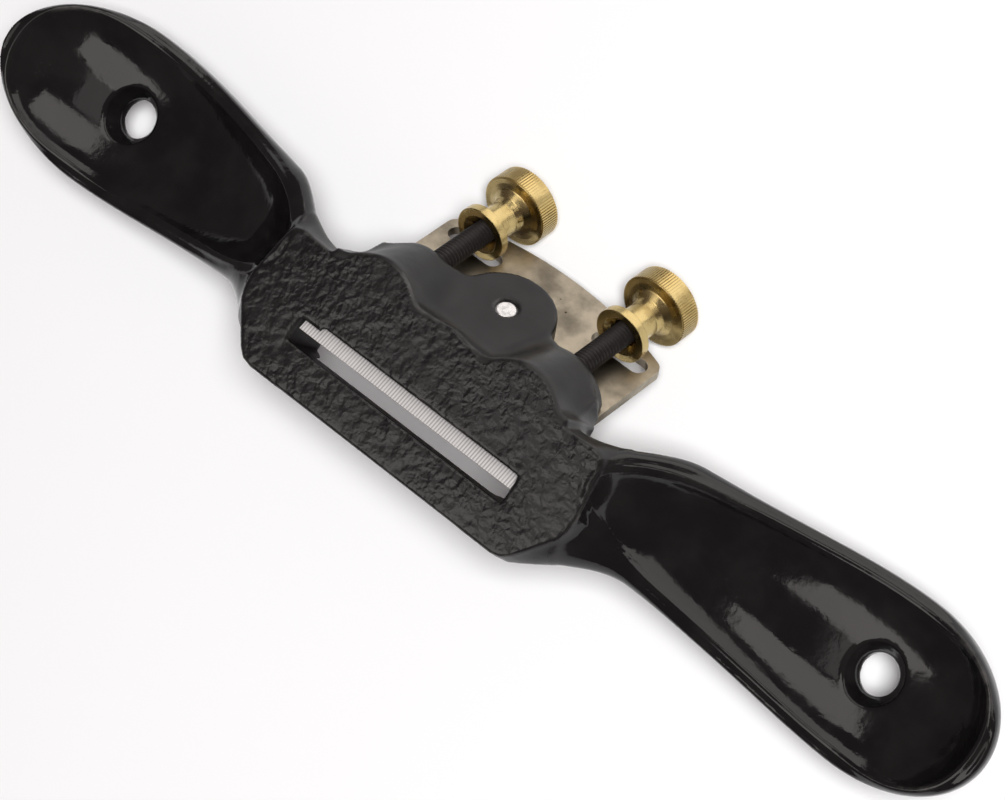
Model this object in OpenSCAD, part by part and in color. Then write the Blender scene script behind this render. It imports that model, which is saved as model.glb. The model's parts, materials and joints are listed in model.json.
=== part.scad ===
// Adjustable spokeshave with raised handles, lying sole up.
// X runs along the handles, Y from the toe of the sole back to the adjusting nuts,
// and Z out of the sole. The origin is the middle of the box's floor.

/* [Casting] */
// Length over the two handles
overall_l = 250; // [220:1:300]
// Depth of the sole, toe to heel
sole_depth = 29; // [27:0.5:34]
// Distance from the toe to the front lip of the mouth
toe_depth = 8.4; // [6:0.2:11]
// Opening of the mouth at the sole
mouth_gap = 6; // [4:0.2:7]
// Thickness of the sole in front of the mouth
sole_t = 4.5; // [3:0.5:6]
// Length of the flat sole between the handles
sole_l = 83; // [76:1:96]
// Angle between the bed and the sole
bed_angle = 45; // [40:1:50]
// Thickness of the bed under the blade
bed_t = 6; // [4.5:0.5:8]
// Height of the rounded tongue along the bed
tongue_s = 36.4; // [34:0.2:40]
// Radius of the rounded tongue
tongue_r = 10.5; // [9:0.5:12]
// Width of a handle at its widest
handle_w = 34.6; // [30:0.5:40]
// Width of a handle at the neck
neck_w = 26.4; // [22:0.5:30]
// Thickness of a handle
handle_t = 9.6; // [8:0.2:14]
// Depth of the dished thumb rest
dish_depth = 4.4; // [3:0.2:5]
// How far the handles sag below the line between their ends
handle_sag = 11; // [6:0.5:14]
// Diameter of the hanging hole
hang_hole_d = 8; // [5:0.5:9]
// Wall of an ear round its stud
ear_wall = 6; // [5:0.2:7]

/* [Blade] */
// Width of the blade
blade_w = 54; // [48:0.5:60]
// Length of the blade on its centre line
blade_l = 47.3; // [45:0.1:52]
// Thickness of the blade
blade_t = 2; // [1.5:0.1:3]
// Bevel angle of the cutting edge
bevel_angle = 27; // [22:1:35]
// Distance of the cutting edge up the bed from the plane of the sole
blade_set = 0.3; // [0:0.1:1.5]
// Radius of the arched top of the blade
blade_top_r = 80; // [60:1:140]
// Radius of the two corners of that top
blade_corner_r = 2.5; // [1:0.5:5]

/* [Adjusters] */
// Distance between the two studs
stud_gap = 36; // [34:0.5:38]
// Outside diameter of the stud's thread
stud_d = 4.8; // [4:0.2:5.6]
// Length of stud above the ear
stud_free = 27; // [25:0.5:30]
// Diameter of the knurled head
nut_head_d = 15; // [13:0.5:16]
// Thickness of the knurled head
nut_head_t = 4.6; // [4:0.2:6]
// Diameter of the waist of the nut
nut_neck_d = 7; // [6.6:0.1:7.2]
// Diameter of the collar that drives the blade
nut_collar_d = 11.4; // [10.8:0.2:12]
// Thickness of the collar
nut_collar_t = 1.9; // [1.4:0.1:2.4]
// Length of the nut from collar face to outer face
nut_l = 14.4; // [13:0.2:17]

/* [Lever cap] */
// Thickness of the lever cap
cap_t = 4.2; // [3.6:0.2:6]
// Distance of the cap's front edge behind the cutting edge
cap_set = 1.4; // [0.8:0.1:3]
// Distance of the lever cap's sides inside the blade's sides
cap_inset = 1; // [0.5:0.1:4]
// Length of the lever cap
cap_l = 42; // [40:0.5:46]
// Distance of the cap screw up the bed
cap_screw_s = 27; // [25:0.5:27.5]
// Diameter of the cap screw's thread
cap_screw_d = 5; // [4:0.5:6]
// Diameter of the cap screw's head
cap_head_d = 8.6; // [7.5:0.2:9.6]
// Distance of the thumb screw up the bed
thumb_s = 37; // [36.5:0.5:38]
// Diameter of the thumb screw's thread
thumb_d = 5; // [4:0.5:6]
// Diameter of the thumb screw's knurled knob
thumb_knob_d = 13; // [11:0.5:14]
// Thickness of the knurled knob
thumb_knob_t = 5; // [4:0.5:7]

/* [Fits] */
// Radial clearance of a thread or shaft in its hole
fit = 0.06; // [0.03:0.01:0.1]
// Gap between flat faces that slide on each other
slide_gap = 0.12; // [0.08:0.02:0.2]
// Gap on each side of the blade between the cheeks
side_gap = 0.4; // [0.2:0.1:0.6]

/* [Hidden] */

// The mouth's lips, and the blade's near face, which meets the sole at y = 0
lip_rise = 1.4;
toe_y = lip_rise - mouth_gap - toe_depth;
front_lip_y = lip_rise - mouth_gap;
heel_y = toe_y + sole_depth;
cheek_x = blade_w / 2 + side_gap;
mouth_x = cheek_x - 0.15;

// Handle stations, measured from the middle of the tool
tip_x = overall_l / 2;
sole_x = sole_l / 2;
dish_x0 = sole_x - 1;
dish_x1 = tip_x - 3.5;
wide_x = tip_x - 26;
neck_x = sole_x + 8.5;
root_x = sole_x - 11.5;
neck_run = 22;
handle_y = 8.6;
root_y = 0.4;

// Handle section: rim, side below the rim, and the numbers of points over the dish and the belly
rim_top = -2.2;
rim_fall = 10.8;
rim_w = 2.6;
side_drop = 3;
neck_extra_t = 3.4;
dish_n = 8;
belly_n = 14;
hole_x = tip_x - 28.6;
hole_floor_z = rim_z(hole_x) - dish_depth;
hole_sink = 2.6;

// Ears that carry the studs
ear_r = stud_d / 2 + ear_wall + 0.6;
ear_end_r = stud_d / 2 + ear_wall;
ear_end_s = 26;
ear_crest = 2.7;
stud_x = stud_gap / 2;
stud_rise = 3.8;
stud_root = 13;

// Slots of the blade that take the collars
slot_s0 = 37.4;
slot_room = 1.9;
slot_l = nut_collar_d + 1.6;
slot_shift = 0.7;
collar_s = slot_s0 + slot_room;
slot_w = slot_room + nut_collar_t + slide_gap;

// Levels below the blade's near face
cap_top = -blade_t - slide_gap;
cap_under = cap_top - cap_t;
cap_head_t = 2.4;
knob_gap = cap_head_t + 0.8;
knob_top = cap_under - knob_gap;
knob_bottom = knob_top - thumb_knob_t;

// The lever cap, from its front edge
cap_w = blade_w - 2 * cap_inset;
cap_s0 = cap_set - blade_set;
cap_end_r = 10;
cap_front_l = 12;
key_open = 7;
loose = 1;

// Broken edges of the knurled heads
nut_edge = 0.6;
knob_edge = 0.5;

// The box, which sets the origin: its lowest point is a nut's head or the thumb screw's knob
nut_end_s = collar_s + nut_l;
nut_reach = nut_end_s - nut_edge;
nut_low_z = -nut_reach * sin(bed_angle) + (stud_rise - nut_head_d / 2) * cos(bed_angle);
knob_low_z = -(thumb_s + thumb_knob_d / 2) * sin(bed_angle) + (knob_bottom + knob_edge) * cos(bed_angle);
low_z = min(nut_low_z, knob_low_z);
high_y = nut_reach * cos(bed_angle) + (stud_rise + nut_head_d / 2) * sin(bed_angle);
mid_y = (toe_y + high_y) / 2;

function smooth(t) = let (c = min(1, max(0, t))) c * c * (3 - 2 * c);
function round_end(t) = sqrt(max(0, 1 - t * t));
// Share of the neck's shape left at x: 1 at the cheek, 0 where the handle proper begins
function neck_share(x) = 1 - smooth((x - root_x) / neck_run);

// Moves the tool from the sole's frame to the frame of the part
module seat() { translate([0, -mid_y, -low_z]) children(); }

// Puts x across, y up the bed from the sole and z out of the bed, towards the sole
module on_bed() { rotate([-bed_angle, 0, 0]) children(); }

module both_sides() { for (side = [0, 1]) mirror([side, 0, 0]) children(); }

// ---- Handles: sections across X, from the cheek to the tip ----

// Height of the dish's rim
function rim_z(x) = let (t = (max(x, dish_x0) - dish_x0) / (dish_x1 - dish_x0))
    rim_top - rim_fall * t - 4 * handle_sag * t * (1 - t);
// Middle of the section across the tool
function mid(x) = handle_y + (root_y - handle_y) * neck_share(x);
// Share of the section left by the rounded end
function end_share(x) = x > wide_x ? round_end((x - wide_x) / (tip_x - wide_x)) : 1;
// Half width of the section
function half_w(x) = end_share(x)
    * (neck_w / 2 + (handle_w - neck_w) / 2 * smooth((x - neck_x) / (wide_x - neck_x)));
// Half width of the dish
function dish_w(x) = max(0.2, half_w(x) - rim_w - 1.6 * smooth((sole_x + 28.5 - x) / 30))
    * (x < neck_x + 8 ? round_end((neck_x + 8 - x) / (neck_x + 8 - dish_x0)) : 1)
    * round_end(max(0, (x - wide_x) / (dish_x1 - wide_x)) ^ 2);
function dish_d(x) = x < dish_x0 || x > dish_x1 ? 0
    : dish_depth * min(1, dish_w(x) / 9) ^ 1.5;
// Thickness of the section below its rim
function thick(x) = side_drop + (handle_t - side_drop + neck_extra_t * neck_share(x)) * end_share(x);
function tip_drop(x) = side_drop * (1 - round_end(max(0, (x - dish_x1) / (tip_x - dish_x1))));
function flat_w(x) = x <= dish_x0 || x >= dish_x1 ? half_w(x) * 0.5 : dish_w(x);

function section(x) = let (w = half_w(x), d = min(flat_w(x), w * 0.94), top = rim_z(x) - tip_drop(x),
    low = rim_z(x) - side_drop, c = mid(x), side = d + (w - d) * 0.6, side_z = top - (top - low) * 0.15)
    concat(
    [for (i = [0:dish_n]) let (u = 2 * i / dish_n - 1) [x, c + d * u, top - dish_d(x) * (1 - u * u)]],
    [[x, c + side, side_z]],
    [for (i = [0:belly_n]) let (a = 180 * i / belly_n)
        [x, c + w * cos(a), low - (thick(x) - side_drop) * sin(a)]],
    [[x, c - side, side_z]]);

inner_x = cheek_x - 1;
stations = concat([for (t = [0:3]) inner_x + (dish_x0 - inner_x) * t / 4],
    [for (t = [0:4]) dish_x0 + (neck_x - dish_x0) * t / 4],
    [for (t = [1:7]) neck_x + (wide_x - neck_x) * t / 7],
    [for (t = [0.35, 0.55, 0.7, 0.8]) wide_x + (tip_x - wide_x) * t], [dish_x1, tip_x - 1.5, tip_x - 0.3]);

module handle() {
    rings = [for (x = stations) section(x)];
    n = len(rings[0]);
    m = len(rings);
    // Each end closes on a point in the middle of its ring
    function core(r, x) = [x, mid(x), (r[0][2] + r[dish_n + 2 + belly_n / 2][2]) / 2];
    polyhedron(
        points = concat([for (r = rings) each r], [core(rings[0], inner_x), core(rings[m - 1], tip_x)]),
        faces = concat(
            [for (j = [0:m - 2]) for (i = [0:n - 1]) let (k = (i + 1) % n)
                each [[j * n + i, j * n + k, (j + 1) * n + k],
                    [j * n + i, (j + 1) * n + k, (j + 1) * n + i]]],
            [for (i = [0:n - 1]) [m * n, (i + 1) % n, i]],
            [for (i = [0:n - 1]) [m * n + 1, (m - 1) * n + i, (m - 1) * n + (i + 1) % n]]),
        convexity = 6);
}

// ---- The casting ----

// Right half of the sole's outline, toe to heel
inner_heel_y = heel_y - 2.4;
tongue_root_x = 10;
sole_edge = [[0, toe_y], [sole_x - 10.5, toe_y], [sole_x - 8.3, toe_y + 0.5], [sole_x - 6.7, toe_y + 1.9],
    [sole_x - 1.2, toe_y + 9.4], [sole_x - 0.2, toe_y + 11.8], [sole_x + 0.1, toe_y + 15],
    [sole_x - 0.7, toe_y + 18.4], [sole_x - 1.3, heel_y - 6.6], [sole_x - 2.2, heel_y - 2.8],
    [sole_x - 4.4, heel_y - 2], [sole_x - 13, inner_heel_y], [tongue_root_x, inner_heel_y],
    [tongue_root_x, heel_y], [0, heel_y]];

module sole_outline() {
    polygon(concat(sole_edge, [for (i = [len(sole_edge) - 2:-1:1]) [-sole_edge[i][0], sole_edge[i][1]]]));
}

module sole_plate() {
    heel_block = 13;
    cheek_wall = 2;
    translate([0, 0, -sole_t]) linear_extrude(sole_t) sole_outline();
    translate([0, 0, -heel_block]) linear_extrude(heel_block) intersection() {
        sole_outline();
        translate([-cheek_x - cheek_wall, lip_rise]) square([2 * (cheek_x + cheek_wall), sole_depth]);
    }
}

module bed() {
    bed_l = 22;
    web = 4;
    on_bed() linear_extrude(bed_t) {
        translate([-cheek_x, 0]) square([2 * cheek_x, bed_l]);
        translate([-tongue_r - web, 0]) square([2 * (tongue_r + web), ear_end_s - 1]);
        translate([0, tongue_s - tongue_r]) circle(r = tongue_r, $fn = 96);
    }
}

// Half barrel round one stud, from the sole down to its end face across the stud
module ear() {
    end_h = 6;
    hull() {
        translate([stud_x, heel_y + ear_crest - ear_r, -1]) cylinder(r = ear_r, h = 1, $fn = 32);
        on_bed() translate([stud_x, ear_end_s, 0]) rotate([90, 0, 0])
            cylinder(r = ear_end_r, h = end_h, $fn = 32);
    }
}

// Space of the blade and the lever cap, behind the front lip
module bed_space() {
    reach = 90;
    intersection() {
        on_bed() translate([-cheek_x, -reach / 2, -reach + slide_gap / 2])
            cube([2 * cheek_x, 2 * reach, reach]);
        translate([-reach / 2, front_lip_y, -reach]) cube([reach, reach, 2 * reach]);
    }
}

module stud_axis(side) { on_bed() translate([side * stud_x, 0, stud_rise]) rotate([-90, 0, 0]) children(); }

module hang_hole() {
    through = 80;
    flare = 2.1;
    cone_h = 3;
    translate([0, 0, hole_floor_z - through]) cylinder(d = hang_hole_d, h = 2 * through, $fn = 48);
    translate([0, 0, hole_floor_z - hole_sink])
        cylinder(d1 = hang_hole_d, d2 = hang_hole_d + 2 * flare, h = cone_h, $fn = 48);
}

module body() {
    stud_hole = 30;
    color([0.13, 0.13, 0.14]) seat() difference() {
        union() {
            sole_plate();
            bed();
            both_sides() ear();
            both_sides() handle();
        }
        translate([-overall_l, -overall_l, 0]) cube(2 * overall_l);
        translate([-mouth_x, front_lip_y, -2 * sole_t]) cube([2 * mouth_x, mouth_gap, 4 * sole_t]);
        bed_space();
        for (side = [-1, 1]) {
            stud_axis(side) translate([0, 0, stud_root]) cylinder(d = stud_d, h = stud_hole, $fn = 48);
            translate([side * hole_x, handle_y, 0]) hang_hole();
        }
        on_bed() translate([0, cap_screw_s, -1])
            cylinder(d = cap_screw_d + 2 * fit, h = 2 * bed_t, $fn = 48);
    }
}

// ---- The blade ----

// Straight sides, an arched top and two rounded corners that run into the arch
module blade_outline() {
    side = blade_w / 2;
    inner_r = blade_top_r - blade_corner_r;
    meet = acos((side - blade_corner_r) / inner_r);
    arch_s = blade_l - blade_top_r;
    corner_s = arch_s + inner_r * sin(meet);
    polygon(concat(
        [[-side, 0], [side, 0]],
        [for (t = [0:5]) let (a = meet * t / 5)
            [side - blade_corner_r * (1 - cos(a)), corner_s + blade_corner_r * sin(a)]],
        [for (t = [1:23]) let (a = meet + (180 - 2 * meet) * t / 24)
            [blade_top_r * cos(a), arch_s + blade_top_r * sin(a)]],
        [for (t = [5:-1:0]) let (a = meet * t / 5)
            [-side + blade_corner_r * (1 - cos(a)), corner_s + blade_corner_r * sin(a)]]));
}

// A slot with round ends, along X or up the blade
module slot(l, w) {
    for (end = [-1, 1]) translate([end * (l - w) / 2, 0]) circle(d = w, $fn = 48);
    square([l - w, w], center = true);
}

module blade() {
    bevel_l = blade_t / tan(bevel_angle);
    edge_land = 0.08;
    screw_slot_w = cap_screw_d + loose;
    screw_slot_l = screw_slot_w + 13;
    color([0.62, 0.58, 0.52]) seat() on_bed() translate([0, -blade_set, 0]) difference() {
        translate([0, 0, -blade_t]) linear_extrude(blade_t) difference() {
            blade_outline();
            for (side = [-1, 1])
                translate([side * (stud_x + slot_shift), slot_s0 + blade_set + slot_w / 2])
                    slot(slot_l, slot_w);
            translate([0, cap_screw_s - 0.5]) rotate(90) slot(screw_slot_l, screw_slot_w);
        }
        rotate([90, 0, 90]) translate([0, 0, -blade_w]) linear_extrude(2 * blade_w)
            polygon([[-1, edge_land - blade_t], [0, edge_land - blade_t], [bevel_l, 0.001],
                [bevel_l, 1], [-1, 1]]);
    }
}

// ---- Studs and adjusting nuts ----

module stud(side) {
    tip = 0.6;
    length = ear_end_s - stud_root + stud_free;
    color([0.16, 0.15, 0.15]) seat() stud_axis(side) translate([0, 0, stud_root]) {
        cylinder(d = stud_d, h = length - tip, $fn = 48);
        translate([0, 0, length - tip]) cylinder(d1 = stud_d, d2 = stud_d - 2 * tip, h = tip, $fn = 48);
    }
}
module left_stud() { stud(-1); }
module right_stud() { stud(1); }

module adjusting_nut(side) {
    collar_r = nut_collar_d / 2;
    neck_r = nut_neck_d / 2;
    head_r = nut_head_d / 2;
    head_h = nut_l - nut_head_t;
    edge = 0.35;
    recess = 1.6;
    flare = 0.5;
    collar_flare = 0.15;
    bore_r = stud_d / 2 + fit;
    color([0.80, 0.70, 0.45]) seat() stud_axis(side) translate([0, 0, collar_s])
        rotate_extrude($fn = 96) polygon([
        [bore_r, recess + flare], [collar_r - recess, 0], [collar_r - edge, 0], [collar_r, edge],
        [collar_r, nut_collar_t - edge], [collar_r - edge, nut_collar_t],
        [neck_r + collar_flare, nut_collar_t],
        [neck_r, nut_collar_t + 1], [neck_r, head_h - 1.6], [neck_r + flare, head_h - flare],
        [neck_r + 1.6, head_h], [head_r - edge, head_h], [head_r, head_h + edge], [head_r, nut_l - nut_edge],
        [head_r - nut_edge, nut_l], [bore_r + flare, nut_l], [bore_r, nut_l - flare]]);
}
module left_adjusting_nut() { adjusting_nut(-1); }
module right_adjusting_nut() { adjusting_nut(1); }

// ---- Lever cap and its screws ----

// Keyhole: the head passes the round end, the shank slides up the slot
module keyhole() {
    through = cap_t + 2;
    slot_half = (cap_screw_d + loose) / 2;
    translate([0, cap_screw_s, cap_under - 1]) cylinder(r = slot_half, h = through, $fn = 48);
    translate([-slot_half, cap_screw_s - key_open, cap_under - 1])
        cube([2 * slot_half, key_open, through]);
    translate([0, cap_screw_s - key_open, cap_under - 1])
        cylinder(d = cap_head_d + loose, h = through, $fn = 48);
}

module lever_cap() {
    nose_l = 2.6;
    nose_t = 1.6;
    nose_tip = 0.8;
    hollow = 1.1;
    hollow_l = 20;
    side = cap_w / 2;
    color([0.14, 0.14, 0.15]) seat() on_bed() difference() {
        translate([0, 0, cap_under]) linear_extrude(cap_t) polygon(concat(
            [[-side, cap_s0], [side, cap_s0], [side, cap_s0 + cap_front_l]],
            [for (a = [0:15:180]) [cap_end_r * cos(a), cap_s0 + cap_l - cap_end_r * (1 - sin(a))]],
            [[-side, cap_s0 + cap_front_l]]));
        translate([-cap_w, cap_s0 + 4, cap_top - hollow]) cube([2 * cap_w, hollow_l, 2 * hollow]);
        rotate([90, 0, 90]) translate([0, 0, -cap_w]) linear_extrude(2 * cap_w)
            polygon([[cap_s0 - 1, cap_top - nose_tip], [cap_s0 - 1, cap_under - 1],
                [cap_s0 + 8, cap_under - 1], [cap_s0 + 7, cap_under],
                [cap_s0 + nose_l, cap_under + nose_t], [cap_s0, cap_top - nose_tip]]);
        keyhole();
        translate([0, thumb_s, cap_under - 1])
            cylinder(d = thumb_d + 2 * fit, h = cap_t + 2, $fn = 48);
    }
}

module cap_screw() {
    head_top = cap_under - slide_gap;
    head_edge = 0.8;
    slot_cut = 1.2;
    slot_depth = 1.1;
    tip = 0.6;
    end = bed_t - 0.4;
    shank = end - tip - head_top;
    color([0.75, 0.74, 0.72]) seat() on_bed() translate([0, cap_screw_s, 0]) difference() {
        union() {
            translate([0, 0, head_top - cap_head_t])
                cylinder(d1 = cap_head_d - 2 * head_edge, d2 = cap_head_d, h = head_edge, $fn = 64);
            translate([0, 0, head_top - cap_head_t + head_edge])
                cylinder(d = cap_head_d, h = cap_head_t - head_edge, $fn = 64);
            translate([0, 0, head_top - 0.1]) cylinder(d = cap_screw_d, h = shank + 0.1, $fn = 48);
            translate([0, 0, end - tip])
                cylinder(d1 = cap_screw_d, d2 = cap_screw_d - 2 * tip, h = tip, $fn = 48);
        }
        translate([-cap_head_d, -slot_cut / 2, head_top - cap_head_t - 1])
            cube([2 * cap_head_d, slot_cut, 1 + slot_depth]);
    }
}

// The rod stands in a blind hole of its knob
knob_floor = 1;

module thumb_screw_rod() {
    rod_end = cap_top - slide_gap / 2;
    color([0.16, 0.15, 0.15]) seat() on_bed() translate([0, thumb_s, knob_bottom + knob_floor])
        cylinder(d = thumb_d, h = rod_end - knob_bottom - knob_floor, $fn = 48);
}

module thumb_screw_knob() {
    r = thumb_knob_d / 2;
    bore_r = thumb_d / 2 + fit;
    neck_r = thumb_d / 2 + 1.4;
    neck_h = 1.2;
    hole_z = knob_floor - slide_gap / 2;
    color([0.80, 0.70, 0.45]) seat() on_bed() translate([0, thumb_s, knob_bottom])
        rotate_extrude($fn = 96) polygon([[0, 0], [r - knob_edge, 0], [r, knob_edge],
            [r, thumb_knob_t - knob_edge], [r - knob_edge, thumb_knob_t], [neck_r, thumb_knob_t],
            [neck_r, thumb_knob_t + neck_h],
            [bore_r, thumb_knob_t + neck_h], [bore_r, hole_z], [0, hole_z]]);
}

body();
blade();
left_stud();
right_stud();
left_adjusting_nut();
right_adjusting_nut();
lever_cap();
cap_screw();
thumb_screw_knob();
thumb_screw_rod();
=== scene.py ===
"""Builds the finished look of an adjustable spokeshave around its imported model.

All sizes are millimetres in the sole's frame: X along the handles, Y from the toe to the
adjusting nuts, Z out of the sole, with the sole's plane at z = 0 and the blade's near face
meeting it at y = 0. "Bed" coordinates are (x, s, o): s up the bed, o out of it.
"""

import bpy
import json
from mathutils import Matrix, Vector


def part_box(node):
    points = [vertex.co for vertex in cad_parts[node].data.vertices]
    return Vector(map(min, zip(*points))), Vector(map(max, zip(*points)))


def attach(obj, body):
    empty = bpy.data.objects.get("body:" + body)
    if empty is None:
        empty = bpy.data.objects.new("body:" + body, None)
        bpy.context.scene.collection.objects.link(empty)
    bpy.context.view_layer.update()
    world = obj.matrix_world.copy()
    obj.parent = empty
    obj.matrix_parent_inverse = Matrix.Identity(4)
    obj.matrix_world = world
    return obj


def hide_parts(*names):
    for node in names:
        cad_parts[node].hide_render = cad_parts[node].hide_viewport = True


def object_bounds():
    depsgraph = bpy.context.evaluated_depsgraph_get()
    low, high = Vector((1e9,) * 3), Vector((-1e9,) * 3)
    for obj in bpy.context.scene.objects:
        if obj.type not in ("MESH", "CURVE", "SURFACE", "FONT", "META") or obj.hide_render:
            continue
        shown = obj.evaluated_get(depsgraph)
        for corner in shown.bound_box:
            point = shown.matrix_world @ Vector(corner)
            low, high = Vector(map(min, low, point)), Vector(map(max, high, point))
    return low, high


bl_info = {
    "name": "Spokeshave builder",
    "version": (1, 0, 0),
    "blender": (4, 5, 0),
    "location": "3D View > Sidebar > Spokeshave",
    "description": "Builds the casting, blade, brass nuts and screws of an adjustable spokeshave",
    "category": "Object",
}

import json
import math

import bmesh
import bpy
import numpy as np
from mathutils import Matrix, Vector

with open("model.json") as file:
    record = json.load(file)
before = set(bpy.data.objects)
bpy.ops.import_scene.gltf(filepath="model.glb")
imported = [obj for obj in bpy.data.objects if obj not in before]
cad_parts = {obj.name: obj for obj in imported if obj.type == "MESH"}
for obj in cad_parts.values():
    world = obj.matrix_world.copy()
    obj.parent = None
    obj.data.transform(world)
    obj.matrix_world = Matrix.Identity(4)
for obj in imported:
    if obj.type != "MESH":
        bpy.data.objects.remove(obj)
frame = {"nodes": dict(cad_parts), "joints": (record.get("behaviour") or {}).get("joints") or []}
CAD_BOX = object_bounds()

MM = 0.001
BODY_LOW, BODY_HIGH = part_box("body")
JOINTS = {j["name"]: j for j in frame["joints"]}
TOE_Y = -13.0
# The sole frame's origin in the frame of the part, in metres
DATUM = Vector((0, BODY_LOW.y - TOE_Y * MM, BODY_HIGH.z))
TIP_X = BODY_HIGH.x / MM
BLADE_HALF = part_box("blade")[1].x / MM
HALF_ROOT = math.sqrt(0.5)
UP_BED = Vector((0, HALF_ROOT, -HALF_ROOT))
OUT_OF_BED = Vector((0, HALF_ROOT, HALF_ROOT))
KNURL_ROOT = 0.25  # from the knurl's outside to the turned head under it
THREAD_CHAMFER = 0.6
THREAD_SIDES = 36
THREAD_ROWS = 8  # to one turn
WORN_TONE = (0.16, 0.15, 0.14)
RUBBED_TONE = (0.16, 0.13, 0.11)
RUST_TONE = (0.05, 0.035, 0.025)
SPECULAR = 0.36
# Soft boxes: name, azimuth and elevation in degrees, size in metres, power in watts
SOFT_BOXES = (("soft_box_back", -172, 56, (1.0, 0.7), 5.5),
              ("soft_box_front", -22, 58, (0.9, 0.7), 5.0),
              ("soft_box_low", 178, 14, (1.8, 0.7), 7.0),
              ("soft_box_top", -90, 74, (0.6, 0.4), 0.8))
FILL_BOX = ("soft_box_fill", 108, 64, (0.4, 0.4), 25.5)
CAMERA_SIDE = (106.618, 65.338)  # azimuth and elevation, in degrees
CAMERA_ROLL = -71.2315  # degrees about the line of sight
CAMERA_AIM = Vector((11.72, -6.85, 9.66)) * MM  # from the middle of the box
SOFT_BOX_TINT = (1, 0.955, 0.925)
WORLD_TONE = (1, 0.84, 0.88, 1)
WORLD_STRENGTH = 0.13


# ---- Settings ----

def length(name, about, default, low=0.0, high=300.0):
    """A size in millimetres, shown in the panel."""
    return bpy.props.FloatProperty(
        name=name, description=f"{about}, in mm", subtype="DISTANCE_CAMERA", default=default,
        min=low, max=high)


def colour(name, about, default):
    return bpy.props.FloatVectorProperty(
        name=name, description=about, subtype="COLOR", size=3, default=default, min=0, max=1)


class CastingSettings(bpy.types.PropertyGroup):
    grid: length("Grid", "Spacing of the casting's mesh", 0.5, 0.3, 2)
    sole_length: length("Sole length", "Length of the flat sole", 83)
    sole_depth: length("Sole depth", "Depth of the sole from toe to heel", 29)
    sole_thickness: length("Sole thickness", "Thickness of the sole at the toe", 4.5)
    handle_width: length("Handle width", "Widest part of a handle", 34.6)
    neck_width: length("Neck width", "Width of a handle at its neck", 26.4)
    handle_thickness: length("Handle thickness", "Thickness of a handle", 9.6)
    dish_depth: length("Dish depth", "Depth of the thumb rest", 4.4)
    handle_sag: length("Handle sag", "Sag of a handle between its ends", 11)
    bead: length("Bead", "Height of the bead round the thumb rest", 0.32, 0, 2)
    lump: length("Cast lumps", "Height of the rough cast skin on the sole", 0.16, 0, 1)
    seed: bpy.props.IntProperty(name="Seed", description="Seed of the rough cast skin", default=7)
    enamel: colour("Enamel", "Colour of the black enamel", (0.0052, 0.0047, 0.0046))
    # The cap's colour is a mauve-grey that is painted shade: it stands in for the shadowed floor
    # seen through the mouth in front of the blade.
    cap_enamel: colour("Cap enamel", "Colour of the lever cap's enamel", (0.045, 0.030, 0.034))


class BladeSettings(bpy.types.PropertyGroup):
    steel: colour("Steel", "Colour of the blade's aged faces", (0.29, 0.255, 0.195))
    bevel: colour("Bevel", "Colour of the freshly ground bevel", (0.60, 0.575, 0.565))
    edge: length("Broken edge", "Width of the blade's broken edges", 0.16, 0, 1)


class ScrewSettings(bpy.types.PropertyGroup):
    pitch: length("Pitch", "Thread pitch", 0.8, 0.4, 2)
    depth: length("Thread depth", "Depth of a thread", 0.36, 0.1, 1)
    black_steel: colour("Black steel", "Colour of the blackened threads", (0.022, 0.019, 0.018))
    bright_steel: colour("Bright steel", "Colour of the turned screw", (0.62, 0.61, 0.60))


class BrassSettings(bpy.types.PropertyGroup):
    brass: colour("Brass", "Colour of the turned brass", (0.52, 0.405, 0.18))
    ridges: bpy.props.IntProperty(name="Ridges", description="Knurl ridges round a nut", default=84)
    ridge_height: length("Ridge height", "Height of a knurl ridge", 0.3, 0, 1)


class StageSettings(bpy.types.PropertyGroup):
    floor: colour("Floor", "Colour of the floor", (0.93, 0.93, 0.93))
    focal: length("Focal length", "Camera focal length on a 36 mm sensor", 125.8)
    distance: length("Distance", "Camera distance from its aim", 652.5, 10, 5000)


# ---- Placing ----

def sole_to_part(points):
    """Sole-frame millimetres, as rows, to the part's frame in metres."""
    return np.asarray(points, float) * MM + np.array(DATUM)


def rod_place(node, axis):
    """The start, radius and length, in mm, of a CAD rod that leans at 45 degrees in YZ."""
    low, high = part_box(node)
    radius = (high.x - low.x) / 2 / MM
    rod_length = ((high.y - low.y) / MM - 2 * radius * HALF_ROOT) / HALF_ROOT
    return (low + high) / 2 - axis * rod_length / 2 * MM, radius, rod_length


def direction(azimuth, elevation):
    """Unit vector towards an azimuth and elevation, in degrees, with azimuth 0 along -Y."""
    a, e = math.radians(azimuth), math.radians(elevation)
    return Vector((math.cos(e) * math.sin(a), -math.cos(e) * math.cos(a), math.sin(e)))


def axis_matrix(origin, axis):
    """Local millimetres to the part's metres, with local z along axis and local x along X."""
    z = axis.normalized()
    x = Vector((1, 0, 0))
    y = z.cross(x)
    turn = Matrix((x, y, z)).transposed().to_4x4()
    return Matrix.Translation(origin) @ turn @ Matrix.Scale(MM, 4)


def new_object(name, mesh):
    obj = bpy.data.objects.new(name, mesh)
    bpy.context.scene.collection.objects.link(obj)
    return obj


def finish_piece(obj, body, slot, *nodes):
    """Ride, slot and stand for CAD nodes, in that order; the slot is not used."""
    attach(obj, body)
    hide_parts(*nodes)


def keep_flats(obj):
    """Smooth shading that leaves the large faces flat and gives their edges a soft line."""
    obj.data.shade_smooth()
    obj.modifiers.new("Flat faces", "WEIGHTED_NORMAL").weight = 90
    return apply_modifiers(obj)


def apply_modifiers(obj):
    """Turns what the modifiers give into the object's own plain mesh."""
    bpy.context.view_layer.update()
    graph = bpy.context.evaluated_depsgraph_get()
    mesh = bpy.data.meshes.new_from_object(obj.evaluated_get(graph), depsgraph=graph)
    obj.modifiers.clear()
    obj.data = mesh
    return obj


# ---- Shader building ----

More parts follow.
